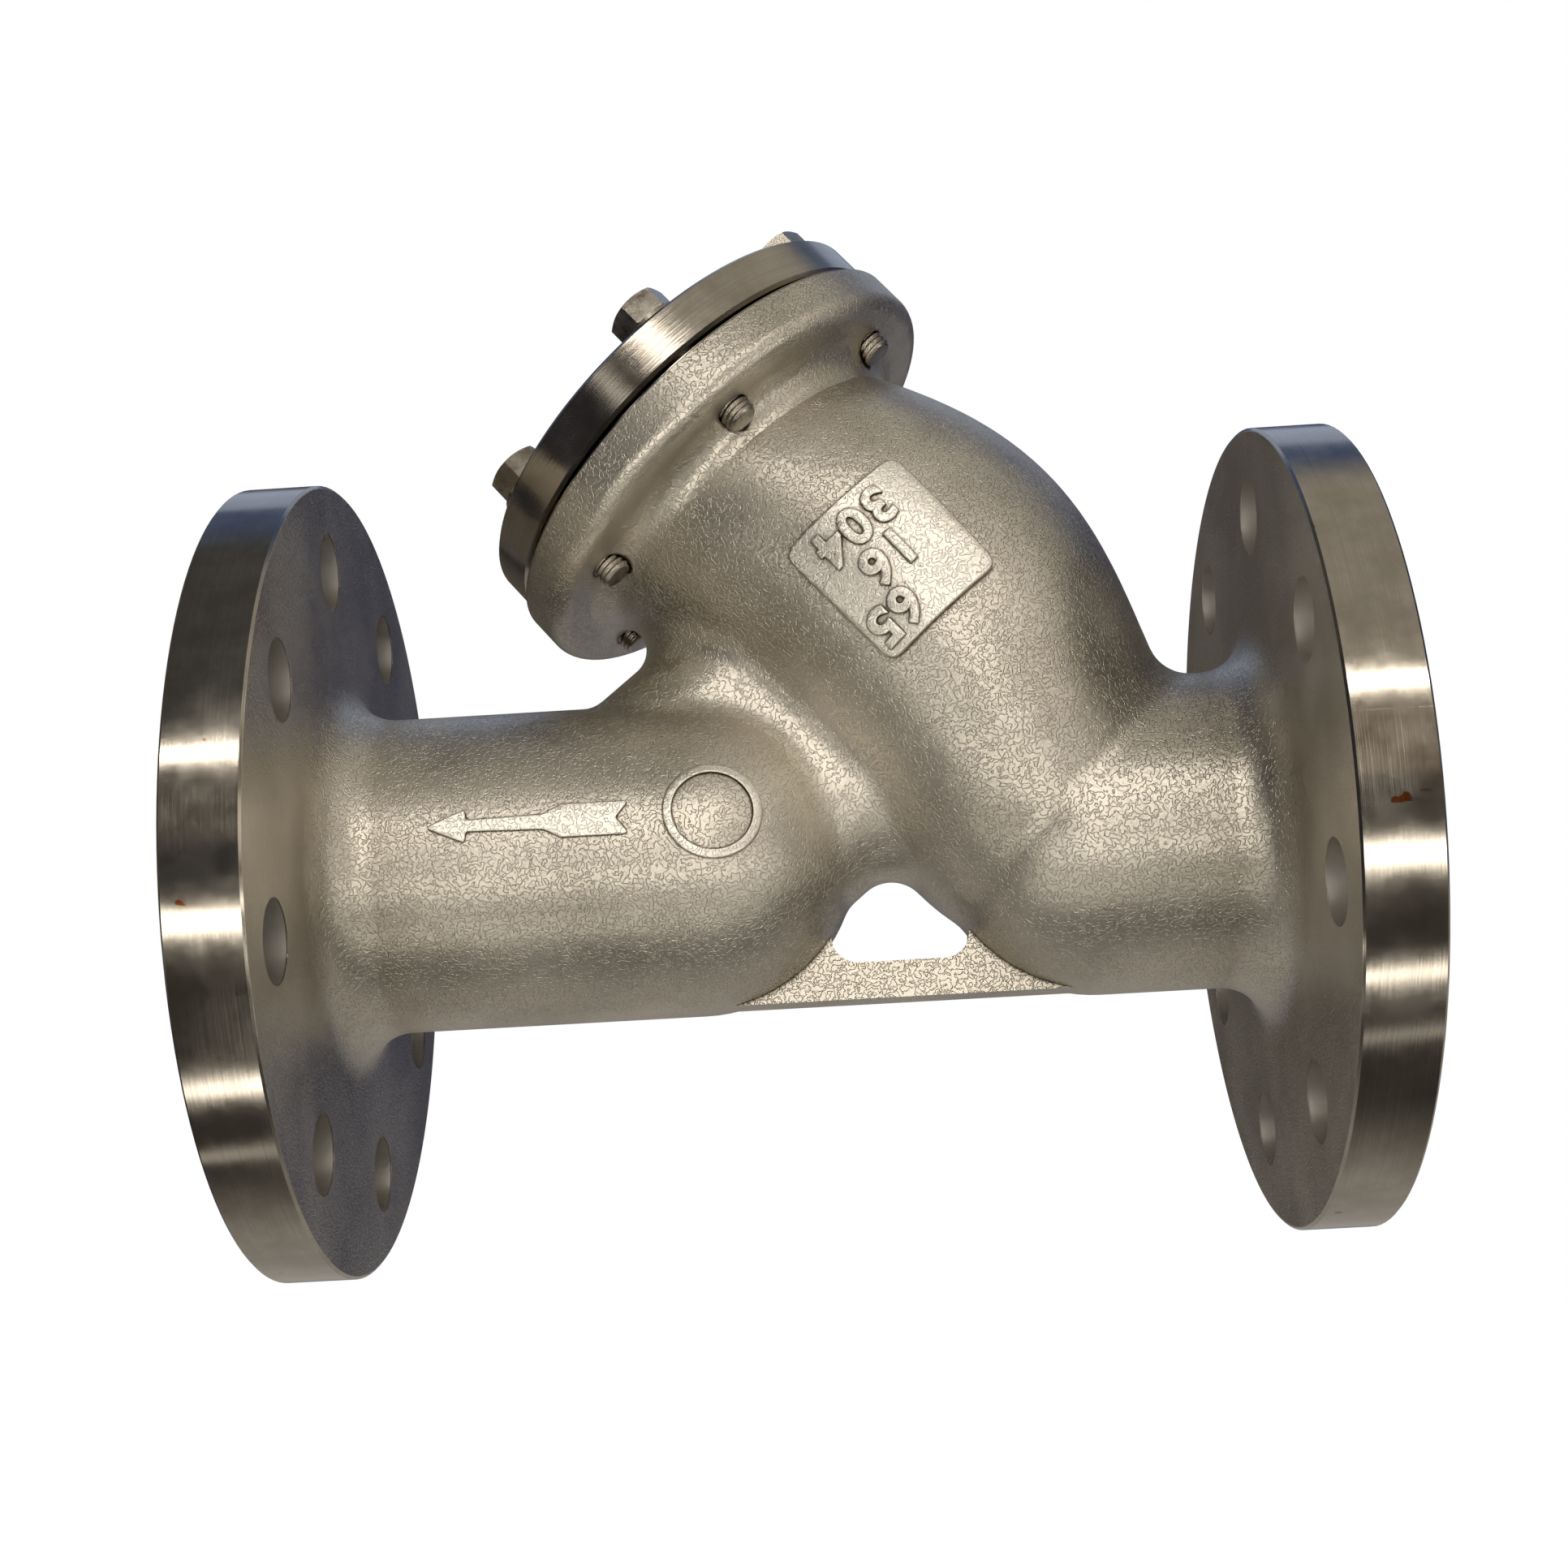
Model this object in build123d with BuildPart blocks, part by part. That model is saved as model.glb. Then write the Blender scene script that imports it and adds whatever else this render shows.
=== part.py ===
"""Flanged Y strainer, cast body with a bolted cover and a perforated screen.

Frame, in millimetres: the origin is the centre of the outlet's raised face, +X runs along the pipe axis
to the inlet, and +Z points up in the plane of the leg, which leans back over the outlet.
Levels along the leg are measured from the point where its axis crosses the pipe axis.
"""
from build123d import *
from math import cos, radians, sin, sqrt, tan
import os

os.makedirs("parts", exist_ok=True)

# Pipe run
face_to_face = 250
bore_diameter = 65
port_relief = 1
pipe_wall = 4.5
outlet_lobe_distance = 100
inlet_lobe_distance = 58
leg_crossing_distance = 190.5
plain_pipe_length = 41
cut_share = 1.05

# Pipe flanges
flange_diameter = 185
flange_rim_thickness = 16.5
raised_face_diameter = 122
raised_face_height = 2
flange_bolt_circle_diameter = 145
flange_hole_diameter = 18
flange_hole_count = 8
flange_fillet = 12
flange_chamfer = 0.5

# Leg and barrel
leg_angle = 50.7
leg_face_level = 131.6
leg_flange_diameter = 119.6
leg_flange_thickness = 12
leg_flange_back_radius = 4
leg_neck_diameter = 86.5
leg_neck_fillet = 7
leg_bore_diameter = 72
barrel_level = 70
barrel_wall = 3.8
chamber_outlet_clearance = 1.45
chamber_inlet_clearance = 20.45
knee_share = 0.6
shoulder_share = 0.65
barrel_root_inset = 2

# Throat between the barrel and the outlet lobe
throat_half_width = 17
throat_low_level = 39
throat_high_level = 97
throat_foot_level = 25

# Web under the lobes
web_thickness = 9
web_bar_height = 8.5
web_rise_height = 1
web_hole_corner_radius = 6

# Rounding of the casting where its lobes meet
valley_fillet = 9
inlet_fillet = 10

# Screen, its end rings and its seat
screen_diameter = 62
screen_sheet = 1
screen_mesh_thickness = 0.5
screen_mesh_gap = 0.1
screen_hole_width = 10
screen_hole_rows = 7
screen_holes_per_row = 12
seat_depth = 4
seat_bore_diameter = 57
seat_clearance = 0.4
seat_gap = 0.1
seat_relief = 1.5
seat_lip = 0.8
ring_shelf = 3
ring_lip_height = 4
guide_clearance = 0.5

# Cover, gasket, studs and nuts
cover_diameter = 115.6
cover_thickness = 11.2
cover_chamfer = 0.8
spigot_height = 4
spigot_clearance = 0.4
spigot_wall = 7
gasket_thickness = 2.2
gasket_width = 5.5
stud_count = 6
stud_circle_diameter = 95.4
stud_diameter = 8
stud_top_length = 1.3
stud_back_length = 4.2
stud_chamfer = 0.8
stud_hole_clearance = 0.5
thread_clearance = 0.08
thread_relief = 1
nut_flats_width = 13
nut_height = 6.5
nut_chamfer = 1
nut_turn = 48.5
washer_diameter = 16
washer_thickness = 1.6

# Drain plug
plug_thread_diameter = 20.9
plug_length = 12
plug_flats_width = 24
plug_head_height = 9
plug_chamfer = 1.5
plug_collar_diameter = 28
plug_collar_height = 2.5
plug_gasket_thickness = 1.5

# Worked out from the sizes above
bore_radius = bore_diameter / 2
port_radius = bore_radius + port_relief
pipe_radius = bore_radius + pipe_wall
inlet_lobe_middle = face_to_face - inlet_lobe_distance
flange_back = raised_face_height + flange_rim_thickness
neck_level = leg_face_level - leg_flange_thickness - leg_neck_fillet
seat_top_level = barrel_level / 2
seat_level = seat_top_level - seat_depth
flange_back_level = leg_face_level - leg_flange_thickness
cover_level = leg_face_level + gasket_thickness
cover_top_level = cover_level + cover_thickness
spigot_end_level = cover_level - spigot_height
stud_end_level = flange_back_level - stud_back_length
stud_radius = stud_diameter / 2
screen_radius = screen_diameter / 2
chamber_radius = screen_radius + (chamber_inlet_clearance + chamber_outlet_clearance) / 2
barrel_radius = chamber_radius + barrel_wall
barrel_offset = (chamber_inlet_clearance - chamber_outlet_clearance) / 2
screen_inner_radius = screen_radius - screen_sheet
seat_ring_radius = screen_radius + seat_lip
seat_ring_bottom = seat_level + seat_gap
screen_bottom_level = seat_ring_bottom + ring_shelf
cover_ring_radius = leg_bore_diameter / 2 - guide_clearance
cover_ring_top = spigot_end_level - seat_gap
screen_top_level = cover_ring_top - ring_shelf
nut_level = cover_top_level + washer_thickness
stud_length = nut_level + nut_height + stud_top_length - stud_end_level
plug_radius = plug_thread_diameter / 2
plug_hole_radius = plug_radius + thread_clearance
plug_seat_level = cover_top_level + plug_gasket_thickness

leg_plane = Plane(
    origin=(leg_crossing_distance, 0, 0),
    x_dir=(sin(radians(leg_angle)), 0, cos(radians(leg_angle))),
    z_dir=(-cos(radians(leg_angle)), 0, sin(radians(leg_angle))),
)
outlet_plane = Plane(origin=(0, 0, 0), x_dir=(1, 0, 0), z_dir=(0, -1, 0))
inlet_plane = Plane(origin=(face_to_face, 0, 0), x_dir=(-1, 0, 0), z_dir=(0, 1, 0))
outlet_face = Plane(origin=(0, 0, 0), x_dir=(0, 1, 0), z_dir=(1, 0, 0))
inlet_face = Plane(origin=(face_to_face, 0, 0), x_dir=(0, 1, 0), z_dir=(-1, 0, 0))
leg_profile_plane = Plane(
    origin=leg_plane.origin,
    x_dir=leg_plane.x_dir,
    z_dir=-leg_plane.y_dir,
)


def barrel_stations(root_radius, top_radius, wall):
    """Level, offset and radius of each round section of the barrel, inside a wall of the given size."""
    knee_radius = pipe_radius + knee_share * (barrel_radius - pipe_radius)
    root_offset = (inlet_lobe_middle - leg_crossing_distance) * sin(radians(leg_angle))
    return [
        (0, root_offset, root_radius),
        (barrel_level / 2, knee_share * barrel_offset, knee_radius - wall),
        (barrel_level, barrel_offset, barrel_radius - wall),
        ((barrel_level + neck_level) / 2, shoulder_share * barrel_offset, barrel_radius - wall),
        (neck_level, 0, top_radius),
    ]


def branch_profile(plane, lobe_distance):
    """Half section of a flanged branch, from its raised face to the rounded end of its pipe."""
    with BuildSketch(plane) as profile:
        with BuildLine():
            Polyline(
                (0, 0),
                (0, raised_face_diameter / 2),
                (raised_face_height, raised_face_diameter / 2),
                (raised_face_height, flange_diameter / 2 - flange_chamfer),
                (raised_face_height + flange_chamfer, flange_diameter / 2),
                (flange_back - flange_chamfer, flange_diameter / 2),
                (flange_back, flange_diameter / 2 - flange_chamfer),
                (flange_back, pipe_radius + flange_fillet),
            )
            RadiusArc(
                (flange_back, pipe_radius + flange_fillet),
                (flange_back + flange_fillet, pipe_radius),
                -flange_fillet,
            )
            Line((flange_back + flange_fillet, pipe_radius), (lobe_distance, pipe_radius))
            RadiusArc((lobe_distance, pipe_radius), (lobe_distance + pipe_radius, 0), pipe_radius)
            Line((lobe_distance + pipe_radius, 0), (0, 0))
        make_face()
    return profile.sketch


def bore_profile(plane, lobe_distance):
    """Half section of the passage in a branch: a port bored through the flange, then the bore to its round end."""
    with BuildSketch(plane) as profile:
        with BuildLine():
            Polyline(
                (lobe_distance + bore_radius, 0),
                (0, 0),
                (0, port_radius),
                (flange_back, port_radius),
                (flange_back, bore_radius),
                (lobe_distance, bore_radius),
            )
            RadiusArc((lobe_distance, bore_radius), (lobe_distance + bore_radius, 0), bore_radius)
        make_face()
    return profile.sketch


def slot_profile(low, high, half_width):
    """Long round-ended outline across the throat, between two levels along the leg."""
    with BuildSketch(throat_plane) as profile:
        with Locations(((low + high) / 2, 0)):
            SlotOverall(high - low, 2 * half_width)
    return profile.sketch


def leg_profile(*points):
    """Half section about the leg axis, from corner points given as radius and level."""
    with BuildSketch(leg_profile_plane) as profile:
        with BuildLine():
            Polyline(*points, close=True)
        make_face()
    return profile.sketch


def ring_profile(inner, outer, low, high):
    """Half section of a plain ring about the leg axis."""
    return leg_profile((inner, low), (outer, low), (outer, high), (inner, high))


def chamfered_hexagon(middle, level, flats_width, height, chamfer_length, turn=0, hole_radius=0):
    """Hexagonal prism along the leg axis whose corners are turned off at 30 degrees at both ends."""
    corner_radius = flats_width / 2 / cos(radians(30))
    drop = chamfer_length * tan(radians(30))
    origin = leg_plane.from_local_coords((*middle, level))
    with BuildPart() as prism:
        with BuildSketch(leg_plane.offset(level)):
            with Locations(middle):
                RegularPolygon(radius=flats_width / 2, side_count=6, major_radius=False, rotation=turn)
        extrude(amount=height)
        with BuildSketch(Plane(origin=origin, x_dir=leg_plane.x_dir, z_dir=-leg_plane.y_dir)):
            with BuildLine():
                Polyline(
                    (hole_radius, 0),
                    (corner_radius - chamfer_length, 0),
                    (corner_radius, drop),
                    (corner_radius, height - drop),
                    (corner_radius - chamfer_length, height),
                    (hole_radius, height),
                    close=True,
                )
            make_face()
        revolve(axis=Axis(origin, leg_plane.z_dir), mode=Mode.INTERSECT)
    return prism.part


def round_edges(edges, radius):
    """Fillet the edges with the radius, or with the largest share of it that fits between the surfaces."""
    for share in (1, 0.9, 0.8, 0.7, 0.5):
        try:
            return fillet(edges, radius=share * radius)
        except ValueError:
            print("fillet of", share * radius, "doesn't fit")
    return edges


leg_axis = Axis(leg_plane.origin, leg_plane.z_dir)
throat_length = (leg_crossing_distance - outlet_lobe_distance) * sin(radians(leg_angle))
throat_plane = Plane(
    origin=leg_plane.from_local_coords((-throat_length, 0, 0)),
    x_dir=leg_plane.z_dir,
    z_dir=leg_plane.x_dir,
)

with BuildPart() as whole_casting:
    # Outer form of the inlet branch and the barrel that rises from its round end
    revolve(branch_profile(inlet_plane, inlet_lobe_distance), axis=Axis.X)
    for level, shift, radius in barrel_stations(pipe_radius - barrel_root_inset, leg_neck_diameter / 2, 0):
        with BuildSketch(leg_plane.offset(level)):
            with Locations((shift, 0)):
                Circle(radius)
    loft()
    round_edges(whole_casting.edges(Select.NEW), inlet_fillet)

    # Outlet branch, and the throat that joins its round end to the barrel
    revolve(branch_profile(outlet_plane, outlet_lobe_distance), axis=Axis.X)
    add(extrude(
        slot_profile(throat_foot_level, throat_high_level + pipe_wall, throat_half_width + pipe_wall),
        amount=throat_length,
        mode=Mode.PRIVATE,
    ))
    round_edges(whole_casting.edges(Select.NEW), valley_fillet)

    # Leg flange, with a rounded back edge and a filleted neck
    with BuildSketch(leg_profile_plane) as neck_sketch:
        rim_radius = leg_flange_diameter / 2
        neck_radius = leg_neck_diameter / 2
        with BuildLine():
            Polyline(
                (neck_radius, neck_level),
                (0, neck_level),
                (0, leg_face_level),
                (rim_radius, leg_face_level),
                (rim_radius, flange_back_level + leg_flange_back_radius),
            )
            RadiusArc(
                (rim_radius, flange_back_level + leg_flange_back_radius),
                (rim_radius - leg_flange_back_radius, flange_back_level),
                leg_flange_back_radius,
            )
            Line(
                (rim_radius - leg_flange_back_radius, flange_back_level),
                (neck_radius + leg_neck_fillet, flange_back_level),
            )
            RadiusArc(
                (neck_radius + leg_neck_fillet, flange_back_level),
                (neck_radius, neck_level),
                -leg_neck_fillet,
            )
        make_face()
    revolve(axis=leg_axis)

    # Passages: both bores, the way up to the seat, the screen chamber and the throat
    revolve(bore_profile(outlet_plane, outlet_lobe_distance), axis=Axis.X, mode=Mode.SUBTRACT)
    revolve(bore_profile(inlet_plane, inlet_lobe_distance), axis=Axis.X, mode=Mode.SUBTRACT)
    with BuildSketch(leg_plane):
        Circle(seat_bore_diameter / 2)
    extrude(amount=seat_top_level, mode=Mode.SUBTRACT)
    with BuildSketch(leg_plane.offset(seat_level)):
        Circle(seat_ring_radius + seat_clearance)
    extrude(amount=ring_shelf + ring_lip_height + seat_relief, mode=Mode.SUBTRACT)
    for level, shift, radius in barrel_stations(0, leg_bore_diameter / 2, barrel_wall)[1:]:
        with BuildSketch(leg_plane.offset(level)):
            with Locations((shift, 0)):
                Circle(radius)
    loft(mode=Mode.SUBTRACT)
    with BuildSketch(leg_plane.offset(neck_level)):
        Circle(leg_bore_diameter / 2)
    extrude(amount=leg_face_level - neck_level, mode=Mode.SUBTRACT)
    add(extrude(
        slot_profile(throat_low_level, throat_high_level, throat_half_width),
        amount=throat_length,
        mode=Mode.PRIVATE,
    ), mode=Mode.SUBTRACT)

    # Bolt holes of the pipe flanges, straddling the plane of the leg, and tapped holes of the leg flange
    for face in (outlet_face, inlet_face):
        with BuildSketch(face):
            half_turn = 180 / flange_hole_count
            with PolarLocations(flange_bolt_circle_diameter / 2, flange_hole_count, start_angle=half_turn):
                Circle(flange_hole_diameter / 2)
        extrude(amount=flange_back, mode=Mode.SUBTRACT)
    with BuildSketch(leg_plane.offset(stud_end_level - thread_relief)):
        with PolarLocations(stud_circle_diameter / 2, stud_count, start_angle=180 / stud_count):
            Circle(stud_radius + thread_clearance)
    extrude(amount=leg_face_level - stud_end_level + thread_relief, mode=Mode.SUBTRACT)

# The flanges and the plain ends of both pipes as pieces of their own, cut off square
pipe_foot_diameter = 2 * (pipe_radius + flange_fillet)
casting_cuts = {
    "outlet_flange": (outlet_face, flange_diameter, flange_back),
    "outlet_pipe": (outlet_face.offset(flange_back), pipe_foot_diameter, plain_pipe_length),
    "inlet_flange": (inlet_face, flange_diameter, flange_back),
    "inlet_pipe": (inlet_face.offset(flange_back), pipe_foot_diameter, flange_fillet),
    "leg_flange": (leg_plane.offset(flange_back_level), leg_flange_diameter, leg_flange_thickness),
}
casting_pieces = {}
for name, (plane, diameter, length) in casting_cuts.items():
    with BuildPart() as cut_piece:
        add(whole_casting.part)
        with BuildSketch(plane):
            Circle(diameter / 2 * cut_share)
        extrude(amount=length, mode=Mode.INTERSECT)
    casting_pieces[name] = cut_piece

with BuildPart() as body_casting:
    add(whole_casting.part)
    for plane, diameter, length in casting_cuts.values():
        with BuildSketch(plane):
            Circle(diameter / 2 * cut_share)
        extrude(amount=length, mode=Mode.SUBTRACT)

with BuildPart() as web:
    # Plate that ties the two lobes, open in a rounded triangle above its bar
    web_bottom = web_rise_height - pipe_radius
    web_corner = web_bottom + web_bar_height + web_hole_corner_radius
    web_length = inlet_lobe_middle - outlet_lobe_distance
    web_hole_half = web_length / 2 - sqrt(pipe_radius**2 - web_corner**2)
    with BuildSketch(outlet_plane):
        web_middle = outlet_lobe_distance + web_length / 2
        with Locations((web_middle, (web_bottom + web_corner) / 2)):
            Rectangle(web_length, web_corner - web_bottom)
        with Locations((web_middle, web_corner)):
            SlotOverall(2 * web_hole_half, 2 * web_hole_corner_radius, mode=Mode.SUBTRACT)
    extrude(amount=web_thickness / 2, both=True)
    with Locations((outlet_lobe_distance, 0, 0), (inlet_lobe_middle, 0, 0)):
        Sphere(pipe_radius, mode=Mode.SUBTRACT)
    add(body_casting.part, mode=Mode.SUBTRACT)
casting_pieces["web"] = web

with BuildPart() as cover_plate:
    # Blind flange with a spigot that centres in the leg's bore and holds the screen down
    spigot_radius = leg_bore_diameter / 2 - spigot_clearance
    revolve(
        leg_profile(
            (plug_hole_radius, cover_level),
            (spigot_radius - spigot_wall, cover_level),
            (spigot_radius - spigot_wall, spigot_end_level),
            (spigot_radius, spigot_end_level),
            (spigot_radius, cover_level),
            (cover_diameter / 2 - cover_chamfer, cover_level),
            (cover_diameter / 2, cover_level + cover_chamfer),
            (cover_diameter / 2, cover_top_level - cover_chamfer),
            (cover_diameter / 2 - cover_chamfer, cover_top_level),
            (plug_hole_radius, cover_top_level),
        ),
        axis=leg_axis,
    )
    with BuildSketch(leg_plane.offset(cover_level)):
        with PolarLocations(stud_circle_diameter / 2, stud_count, start_angle=180 / stud_count):
            Circle(stud_radius + stud_hole_clearance)
    extrude(amount=cover_thickness, mode=Mode.SUBTRACT)

with BuildPart() as cover_gasket:
    gasket_inner = leg_bore_diameter / 2
    revolve(
        ring_profile(gasket_inner, gasket_inner + gasket_width, leg_face_level, cover_level),
        axis=leg_axis,
    )

with BuildPart() as screen_seat_ring:
    # L-shaped ring: the sheet stands on its shelf, inside its lip
    revolve(
        leg_profile(
            (seat_bore_diameter / 2, seat_ring_bottom),
            (seat_ring_radius, seat_ring_bottom),
            (seat_ring_radius, screen_bottom_level + ring_lip_height),
            (screen_radius, screen_bottom_level + ring_lip_height),
            (screen_radius, screen_bottom_level),
            (seat_bore_diameter / 2, screen_bottom_level),
        ),
        axis=leg_axis,
    )

with BuildPart() as screen_cover_ring:
    # The same turned over and wider, so that it guides the screen in the leg's bore
    revolve(
        leg_profile(
            (seat_bore_diameter / 2, cover_ring_top),
            (cover_ring_radius, cover_ring_top),
            (cover_ring_radius, screen_top_level - ring_lip_height),
            (screen_radius, screen_top_level - ring_lip_height),
            (screen_radius, screen_top_level),
            (seat_bore_diameter / 2, screen_top_level),
        ),
        axis=leg_axis,
    )

with BuildPart() as screen_tube:
    # Rolled sheet with staggered rows of square holes
    revolve(
        ring_profile(screen_inner_radius, screen_radius, screen_bottom_level, screen_top_level),
        axis=leg_axis,
    )
    first_row = screen_bottom_level + ring_lip_height
    row_pitch = (screen_top_level - ring_lip_height - first_row) / screen_hole_rows
    hole_angle = 360 / screen_holes_per_row
    for row in range(screen_hole_rows):
        row_plane = leg_plane.offset(first_row + (row + 0.5) * row_pitch)
        for hole in range(screen_holes_per_row):
            turn = radians(hole_angle * (hole + 0.5 * (row % 2)))
            outward = row_plane.x_dir * cos(turn) + row_plane.y_dir * sin(turn)
            with BuildSketch(Plane(origin=row_plane.origin, x_dir=row_plane.z_dir, z_dir=outward)):
                Rectangle(screen_hole_width, screen_hole_width)
        extrude(amount=screen_radius + screen_sheet, mode=Mode.SUBTRACT)

with BuildPart() as screen_mesh:
    # Fine mesh inside the sheet, as a plain sleeve
    mesh_outer = screen_inner_radius - screen_mesh_gap
    revolve(
        ring_profile(mesh_outer - screen_mesh_thickness, mesh_outer, screen_bottom_level, screen_top_level),
        axis=leg_axis,
    )

with BuildPart() as drain_plug:
    # Threaded plug with a collar and a hexagon
    revolve(
        leg_profile(
            (0, cover_top_level - plug_length),
            (plug_radius - stud_chamfer, cover_top_level - plug_length),
            (plug_radius, cover_top_level - plug_length + stud_chamfer),
            (plug_radius, plug_seat_level),
            (plug_collar_diameter / 2, plug_seat_level),
            (plug_collar_diameter / 2, plug_seat_level + plug_collar_height),
            (0, plug_seat_level + plug_collar_height),
        ),
        axis=leg_axis,
    )
    add(chamfered_hexagon(
        (0, 0), plug_seat_level + plug_collar_height, plug_flats_width, plug_head_height,
        plug_chamfer,
    ))

with BuildPart() as plug_gasket:
    revolve(
        ring_profile(plug_hole_radius, plug_collar_diameter / 2, cover_top_level, plug_seat_level),
        axis=leg_axis,
    )

pieces = {
    "body_casting": body_casting,
    **casting_pieces,
    "cover_plate": cover_plate,
    "cover_gasket": cover_gasket,
    "screen_seat_ring": screen_seat_ring,
    "screen_cover_ring": screen_cover_ring,
    "screen_tube": screen_tube,
    "screen_mesh": screen_mesh,
    "drain_plug": drain_plug,
    "plug_gasket": plug_gasket,
}

for number in range(1, stud_count + 1):
    turn = radians((number - 0.5) * 360 / stud_count)
    stud_middle = (stud_circle_diameter / 2 * cos(turn), stud_circle_diameter / 2 * sin(turn))
    with BuildPart() as cover_stud:
        # Stud screwed through the leg flange, standing out behind it and above the nut
        with BuildSketch(leg_plane.offset(stud_end_level)):
            with Locations(stud_middle):
                Circle(stud_radius)
        extrude(amount=stud_length)
        chamfer(cover_stud.edges().filter_by(GeomType.CIRCLE), length=stud_chamfer)

    with BuildPart() as stud_washer:
        with BuildSketch(leg_plane.offset(cover_top_level)):
            with Locations(stud_middle):
                Circle(washer_diameter / 2)
                Circle(stud_radius + stud_hole_clearance, mode=Mode.SUBTRACT)
        extrude(amount=washer_thickness)

    with BuildPart() as cover_nut:
        add(chamfered_hexagon(
            stud_middle, nut_level, nut_flats_width, nut_height, nut_chamfer,
            turn=number * nut_turn, hole_radius=stud_radius + thread_clearance,
        ))

    pieces[f"cover_stud_{number}"] = cover_stud
    pieces[f"stud_washer_{number}"] = stud_washer
    pieces[f"cover_nut_{number}"] = cover_nut

for name, piece in pieces.items():
    piece.part.label = name
    export_step(piece.part, f"parts/{name}.step")
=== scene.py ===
from math import cos, pi, radians, sin, tan

import bmesh
import bpy
from mathutils import Euler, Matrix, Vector
from mathutils.bvhtree import BVHTree


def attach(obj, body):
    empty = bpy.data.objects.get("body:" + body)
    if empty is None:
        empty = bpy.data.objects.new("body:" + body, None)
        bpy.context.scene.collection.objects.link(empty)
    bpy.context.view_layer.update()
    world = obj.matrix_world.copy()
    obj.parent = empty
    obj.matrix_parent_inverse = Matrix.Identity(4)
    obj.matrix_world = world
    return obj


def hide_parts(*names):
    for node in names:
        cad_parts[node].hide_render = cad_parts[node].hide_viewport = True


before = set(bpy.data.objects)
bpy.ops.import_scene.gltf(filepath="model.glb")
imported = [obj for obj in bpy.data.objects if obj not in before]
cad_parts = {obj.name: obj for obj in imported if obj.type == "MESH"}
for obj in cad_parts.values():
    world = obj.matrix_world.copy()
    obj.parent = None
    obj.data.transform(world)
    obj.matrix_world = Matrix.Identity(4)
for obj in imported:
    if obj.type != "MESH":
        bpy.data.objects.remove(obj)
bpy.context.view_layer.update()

MM = 0.001

# Sizes that the solids have, in millimetres
FACE_TO_FACE = 250
FLANGE_RADIUS = 92.5
FLANGE_BACK = 18.5
BOLT_CIRCLE_RADIUS = 72.5
BOLT_HOLE_RADIUS = 9
PIPE_RADIUS = 37
RAISED_FACE_HEIGHT = 2
LEG_ANGLE = 50.7
LEG_CROSSING = 190.5
LEG_FACE_LEVEL = 131.6
BARREL_OFFSET = 9.5
BARREL_RADIUS = 45.75
STUD_CIRCLE_RADIUS = 47.7
STUD_COUNT = 6
STUD_RADIUS = 4
STUD_LOW = 115.4
STUD_HIGH = 154.4

# Woven mesh of the screen: pitch along the leg in millimetres, and waves of the pattern per radian round it
MESH_PITCH = 1.1
MESH_WAVES = 165

OBJECT_MIDDLE = Vector((FACE_TO_FACE / 2, 0, 20))
LEG_ORIGIN = Vector((LEG_CROSSING, 0, 0))
LEG_UP = Vector((-cos(radians(LEG_ANGLE)), 0, sin(radians(LEG_ANGLE))))
LEG_SIDE = Vector((sin(radians(LEG_ANGLE)), 0, cos(radians(LEG_ANGLE))))
LEG_BACK = Vector((0, 1, 0))

CASTING_NODES = (
    "body_casting", "outlet_flange", "outlet_pipe", "inlet_flange", "inlet_pipe", "leg_flange", "web",
)


def across_leg(radius, angle):
    """Step across the leg, in millimetres; the angle is from the side away from the outlet towards +Y."""
    return LEG_SIDE * (radius * cos(angle)) + LEG_BACK * (radius * sin(angle))


def mesh_object(name, points, faces, smooth=True):
    """Object from points in millimetres."""
    mesh = bpy.data.meshes.new(name)
    mesh.from_pydata([tuple(Vector(p) * MM) for p in points], [], faces)
    mesh.validate()
    if smooth:
        mesh.shade_smooth()
    else:
        mesh.shade_flat()
    piece = bpy.data.objects.new(name, mesh)
    bpy.context.scene.collection.objects.link(piece)
    return piece


def finish_piece(piece, material, body, node=None):
    """Gives a piece its material, body and slot, and the node that it stands for."""
    piece.data.materials.clear()
    piece.data.materials.append(material)
    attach(piece, body)
    if node:
        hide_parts(node)


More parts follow.
